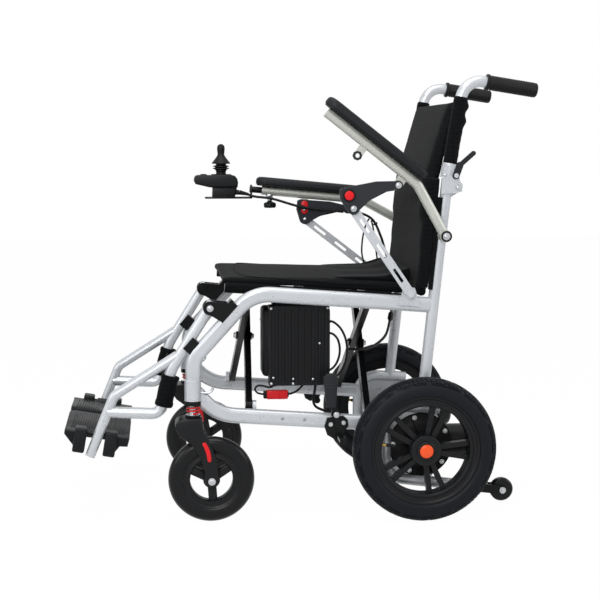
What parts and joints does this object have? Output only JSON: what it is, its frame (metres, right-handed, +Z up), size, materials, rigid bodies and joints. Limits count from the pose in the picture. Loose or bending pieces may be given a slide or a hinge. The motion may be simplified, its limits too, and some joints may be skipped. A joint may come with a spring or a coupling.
{
  "type": "power wheelchair",
  "caption": "Folding power wheelchair with motor-driven rear wheels, sprung front casters, lifting armrests, a joystick, swing-up leg rests and a folding back.",
  "frame": {"origin": "middle of the footprint on the floor, at the centre of the overall box", "axes": "the chair faces -Y, +X is the sitter's left, +Z is up"},
  "size_m": [0.58, 1.0322, 0.9683],
  "materials": {
    "frame_paint": "satin powder coat",
    "arm_paint": "satin powder coat",
    "motor_black": "black satin",
    "black_plastic": "fine grain",
    "grip_rubber": "matte",
    "pad_foam": "soft matte skin",
    "red_plastic": "smooth",
    "zinc_steel": "bright zinc",
    "red_spring_steel": "gloss",
    "tyre_rubber": "matte",
    "brake_steel": "satin",
    "battery_plastic": "fine grain",
    "cable_jacket": "satin",
    "black_paint": "satin paint",
    "seat_fabric": "woven"
  },
  "bodies": {
    "left_frame": {"side_frame_left": "frame_paint", "motor_left": "motor_black", "frame_mounts_left": "black_plastic", "battery_pack": "battery_plastic", "controller_box": "battery_plastic", "battery_leads": "red_plastic", "back_upholstery_lower": "seat_fabric", "caster_spring_left": "red_spring_steel"},
    "cross_brace_a": {"cross_brace_a": "black_paint", "seat_cushion": "seat_fabric"},
    "cross_brace_b": {"cross_brace_b": "black_paint"},
    "right_frame": {"side_frame_right": "frame_paint", "motor_right": "motor_black", "frame_mounts_right": "black_plastic", "caster_spring_right": "red_spring_steel", "joystick_cable": "cable_jacket"},
    "joystick": {"joystick_mount": "black_paint", "joystick_housing": "black_plastic"},
    "joystick_gimbal": {"joystick_gimbal": "zinc_steel"},
    "joystick_stick": {"joystick_stick": "grip_rubber"},
    "power_button": {"power_button": "red_plastic"},
    "horn_button": {"horn_button": "grip_rubber"},
    "clamp_knob": {"clamp_knob": "black_plastic"},
    "rear_wheel_left": {"rear_tyre_left": "tyre_rubber", "rear_rim_left": "black_plastic"},
    "caster_stem_left": {"caster_stem_left": "zinc_steel"},
    "caster_fork_left": {"caster_fork_left": "black_plastic"},
    "caster_wheel_left": {"caster_wheel_left": "tyre_rubber"},
    "antitip_left": {"antitip_wheel_left": "tyre_rubber"},
    "armrest_left": {"arm_tube_left": "arm_paint", "arm_pad_left": "pad_foam"},
    "latch_arm_left": {"latch_arm_left": "black_plastic"},
    "arm_link_left": {"arm_link_left": "zinc_steel"},
    "latch_button_left": {"latch_button_left": "red_plastic"},
    "upper_back_left": {"back_tube_left": "frame_paint", "hand_grip_left": "grip_rubber", "back_upholstery_upper": "seat_fabric"},
    "back_lever_left": {"back_lever_left": "black_plastic"},
    "brake_left": {"brake_lever_left": "brake_steel"},
    "legrest_left": {"legrest_left": "frame_paint", "calf_strap": "seat_fabric"},
    "footplate_left": {"footplate_left": "black_plastic"},
    "rear_wheel_right": {"rear_tyre_right": "tyre_rubber", "rear_rim_right": "black_plastic"},
    "caster_stem_right": {"caster_stem_right": "zinc_steel"},
    "caster_fork_right": {"caster_fork_right": "black_plastic"},
    "caster_wheel_right": {"caster_wheel_right": "tyre_rubber"},
    "antitip_right": {"antitip_wheel_right": "tyre_rubber"},
    "armrest_right": {"arm_tube_right": "arm_paint", "arm_pad_right": "pad_foam"},
    "latch_arm_right": {"latch_arm_right": "black_plastic"},
    "arm_link_right": {"arm_link_right": "zinc_steel"},
    "latch_button_right": {"latch_button_right": "red_plastic"},
    "upper_back_right": {"back_tube_right": "frame_paint", "hand_grip_right": "grip_rubber"},
    "back_lever_right": {"back_lever_right": "black_plastic"},
    "brake_right": {"brake_lever_right": "brake_steel"},
    "legrest_right": {"legrest_right": "frame_paint"},
    "footplate_right": {"footplate_right": "black_plastic"}
  },
  "joints": [
    {"name": "side_fold", "type": "hinge", "parent": "left_frame", "child": "cross_brace_a", "pos_m": [0.188, 0.013, 0.23892], "axis": [0, 0.9972, -0.075], "range_deg": [0, 27], "deforming": ["seat_cushion", "back_upholstery_lower", "back_upholstery_upper", "calf_strap", "joystick_cable"]},
    {"name": "brace_scissor", "type": "hinge", "parent": "cross_brace_a", "child": "cross_brace_b", "pos_m": [0, 0.02262, 0.36681], "axis": [0, 0.9972, -0.075], "range_deg": [-56, 2]},
    {"name": "right_frame_fold", "type": "hinge", "parent": "cross_brace_b", "child": "right_frame", "pos_m": [-0.188, 0.013, 0.23892], "axis": [0, 0.9972, -0.075], "range_deg": [-1, 28]},
    {"name": "wheel_left_spin", "type": "hinge", "parent": "left_frame", "child": "rear_wheel_left", "pos_m": [0.262, 0.267, 0.158], "axis": [1, 0, 0], "continuous": true},
    {"name": "caster_left_spring", "type": "slide", "parent": "left_frame", "child": "caster_stem_left", "axis": [0, 0, 1], "range_m": [0, 0.012], "stiffness_N_per_m": 20000, "springref_m": -0.01, "deforming": ["caster_spring_left"]},
    {"name": "caster_left_swivel", "type": "hinge", "parent": "caster_stem_left", "child": "caster_fork_left", "pos_m": [0.222, -0.234, 0.21], "axis": [0, 0, 1], "continuous": true},
    {"name": "caster_left_spin", "type": "hinge", "parent": "caster_fork_left", "child": "caster_wheel_left", "pos_m": [0.222, -0.195, 0.094], "axis": [1, 0, 0], "continuous": true},
    {"name": "antitip_left_spin", "type": "hinge", "parent": "left_frame", "child": "antitip_left", "pos_m": [0.212, 0.451, 0.0525], "axis": [1, 0, 0], "continuous": true},
    {"name": "armrest_left_lift", "type": "hinge", "parent": "left_frame", "child": "armrest_left", "pos_m": [0.24, 0.3118, 0.6203], "axis": [-1, 0, 0], "range_deg": [-32.6, 12]},
    {"name": "armrest_left_latch", "type": "hinge", "parent": "armrest_left", "child": "latch_arm_left", "pos_m": [0.24, 0.20736, 0.72983], "axis": [-1, 0, 0], "range_deg": [-17.44, 45.66]},
    {"name": "armrest_left_stay", "type": "hinge", "parent": "left_frame", "child": "arm_link_left", "pos_m": [0.24, 0.237, 0.496], "axis": [-1, 0, 0], "range_deg": [-20.4, 8.14]},
    {"name": "latch_left_press", "type": "slide", "parent": "latch_arm_left", "child": "latch_button_left", "axis": [-1, 0, 0], "range_m": [0, 0.003], "stiffness_N_per_m": 300, "springref_m": -0.004},
    {"name": "back_left_fold", "type": "hinge", "parent": "left_frame", "child": "upper_back_left", "pos_m": [0.212, 0.343, 0.724], "axis": [-1, 0, 0], "range_deg": [0, 118]},
    {"name": "back_lever_left_pull", "type": "hinge", "parent": "upper_back_left", "child": "back_lever_left", "pos_m": [0.226, 0.33639, 0.75], "axis": [-1, 0, 0], "range_deg": [0, 16], "stiffness_Nm_per_rad": 0.3, "springref_deg": -11.46},
    {"name": "brake_left_pull", "type": "hinge", "parent": "left_frame", "child": "brake_left", "pos_m": [0.23, 0.077, 0.232], "axis": [1, 0, 0], "range_deg": [0, 14]},
    {"name": "legrest_left_swing", "type": "hinge", "parent": "left_frame", "child": "legrest_left", "pos_m": [0.205, -0.1957, 0.467], "axis": [-1, 0, 0], "range_deg": [0, 70]},
    {"name": "footplate_left_flip", "type": "hinge", "parent": "legrest_left", "child": "footplate_left", "pos_m": [0.19, -0.441, 0.1913], "axis": [0, 0.9854, -0.1702], "range_deg": [0, 88]},
    {"name": "wheel_right_spin", "type": "hinge", "parent": "right_frame", "child": "rear_wheel_right", "pos_m": [-0.262, 0.267, 0.158], "axis": [1, 0, 0], "continuous": true},
    {"name": "caster_right_spring", "type": "slide", "parent": "right_frame", "child": "caster_stem_right", "axis": [0, 0, 1], "range_m": [0, 0.012], "stiffness_N_per_m": 20000, "springref_m": -0.01, "deforming": ["caster_spring_right"]},
    {"name": "caster_right_swivel", "type": "hinge", "parent": "caster_stem_right", "child": "caster_fork_right", "pos_m": [-0.222, -0.234, 0.21], "axis": [0, 0, 1], "continuous": true},
    {"name": "caster_right_spin", "type": "hinge", "parent": "caster_fork_right", "child": "caster_wheel_right", "pos_m": [-0.222, -0.195, 0.094], "axis": [1, 0, 0], "continuous": true},
    {"name": "antitip_right_spin", "type": "hinge", "parent": "right_frame", "child": "antitip_right", "pos_m": [-0.212, 0.451, 0.0525], "axis": [1, 0, 0], "continuous": true},
    {"name": "armrest_right_lift", "type": "hinge", "parent": "right_frame", "child": "armrest_right", "pos_m": [-0.24, 0.3118, 0.6203], "axis": [-1, 0, 0], "range_deg": [0, 44]},
    {"name": "armrest_right_latch", "type": "hinge", "parent": "armrest_right", "child": "latch_arm_right", "pos_m": [-0.24, 0.1648, 0.6563], "axis": [-1, 0, 0], "range_deg": [-61.28, 1]},
    {"name": "armrest_right_stay", "type": "hinge", "parent": "right_frame", "child": "arm_link_right", "pos_m": [-0.24, 0.237, 0.496], "axis": [-1, 0, 0], "range_deg": [-1, 27.18]},
    {"name": "latch_right_press", "type": "slide", "parent": "latch_arm_right", "child": "latch_button_right", "axis": [1, 0, 0], "range_m": [0, 0.003], "stiffness_N_per_m": 300, "springref_m": -0.004},
    {"name": "back_right_fold", "type": "hinge", "parent": "right_frame", "child": "upper_back_right", "pos_m": [-0.212, 0.343, 0.724], "axis": [-1, 0, 0], "range_deg": [0, 118]},
    {"name": "back_lever_right_pull", "type": "hinge", "parent": "upper_back_right", "child": "back_lever_right", "pos_m": [-0.226, 0.33639, 0.75], "axis": [-1, 0, 0], "range_deg": [0, 16], "stiffness_Nm_per_rad": 0.3, "springref_deg": -11.46},
    {"name": "brake_right_pull", "type": "hinge", "parent": "right_frame", "child": "brake_right", "pos_m": [-0.23, 0.077, 0.232], "axis": [1, 0, 0], "range_deg": [0, 14]},
    {"name": "legrest_right_swing", "type": "hinge", "parent": "right_frame", "child": "legrest_right", "pos_m": [-0.205, -0.1957, 0.467], "axis": [-1, 0, 0], "range_deg": [0, 70]},
    {"name": "footplate_right_flip", "type": "hinge", "parent": "legrest_right", "child": "footplate_right", "pos_m": [-0.19, -0.441, 0.1913], "axis": [0, 0.9854, -0.1702], "range_deg": [-88, 0]},
    {"name": "joystick_reach", "type": "slide", "parent": "armrest_right", "child": "joystick", "axis": [0, -0.9957, 0.0923], "range_m": [-0.01, 0.035]},
    {"name": "stick_pitch", "type": "hinge", "parent": "joystick", "child": "joystick_gimbal", "pos_m": [-0.24, -0.148, 0.728], "axis": [1, 0, 0], "range_deg": [-18, 18], "stiffness_Nm_per_rad": 0.25},
    {"name": "stick_roll", "type": "hinge", "parent": "joystick_gimbal", "child": "joystick_stick", "pos_m": [-0.24, -0.148, 0.728], "axis": [0, 1, 0], "range_deg": [-18, 18], "stiffness_Nm_per_rad": 0.25},
    {"name": "power_press", "type": "slide", "parent": "joystick", "child": "power_button", "axis": [0, 0, -1], "range_m": [0, 0.0015], "stiffness_N_per_m": 400, "springref_m": -0.002},
    {"name": "horn_press", "type": "slide", "parent": "joystick", "child": "horn_button", "axis": [0, 0, -1], "range_m": [0, 0.0015], "stiffness_N_per_m": 400, "springref_m": -0.002},
    {"name": "clamp_turn", "type": "hinge", "parent": "armrest_right", "child": "clamp_knob", "pos_m": [-0.24, -0.0282, 0.6803], "axis": [0, 0, 1], "range_deg": [-180, 180]}
  ],
  "couplings": [
    {"joint": "brace_scissor", "follows": "side_fold", "ratio": -2},
    {"joint": "right_frame_fold", "follows": "side_fold", "ratio": 1},
    {"joint": "armrest_left_latch", "follows": "armrest_left_lift", "ratio": -1.37},
    {"joint": "armrest_left_stay", "follows": "armrest_left_lift", "ratio": 0.595},
    {"joint": "footplate_left_flip", "follows": "side_fold", "ratio": 3.1852},
    {"joint": "armrest_right_latch", "follows": "armrest_right_lift", "ratio": -1.37},
    {"joint": "armrest_right_stay", "follows": "armrest_right_lift", "ratio": 0.595},
    {"joint": "footplate_right_flip", "follows": "side_fold", "ratio": -3.1852},
    {"joint": "back_right_fold", "follows": "back_left_fold", "ratio": 1},
    {"joint": "legrest_right_swing", "follows": "legrest_left_swing", "ratio": 1}
  ]
}
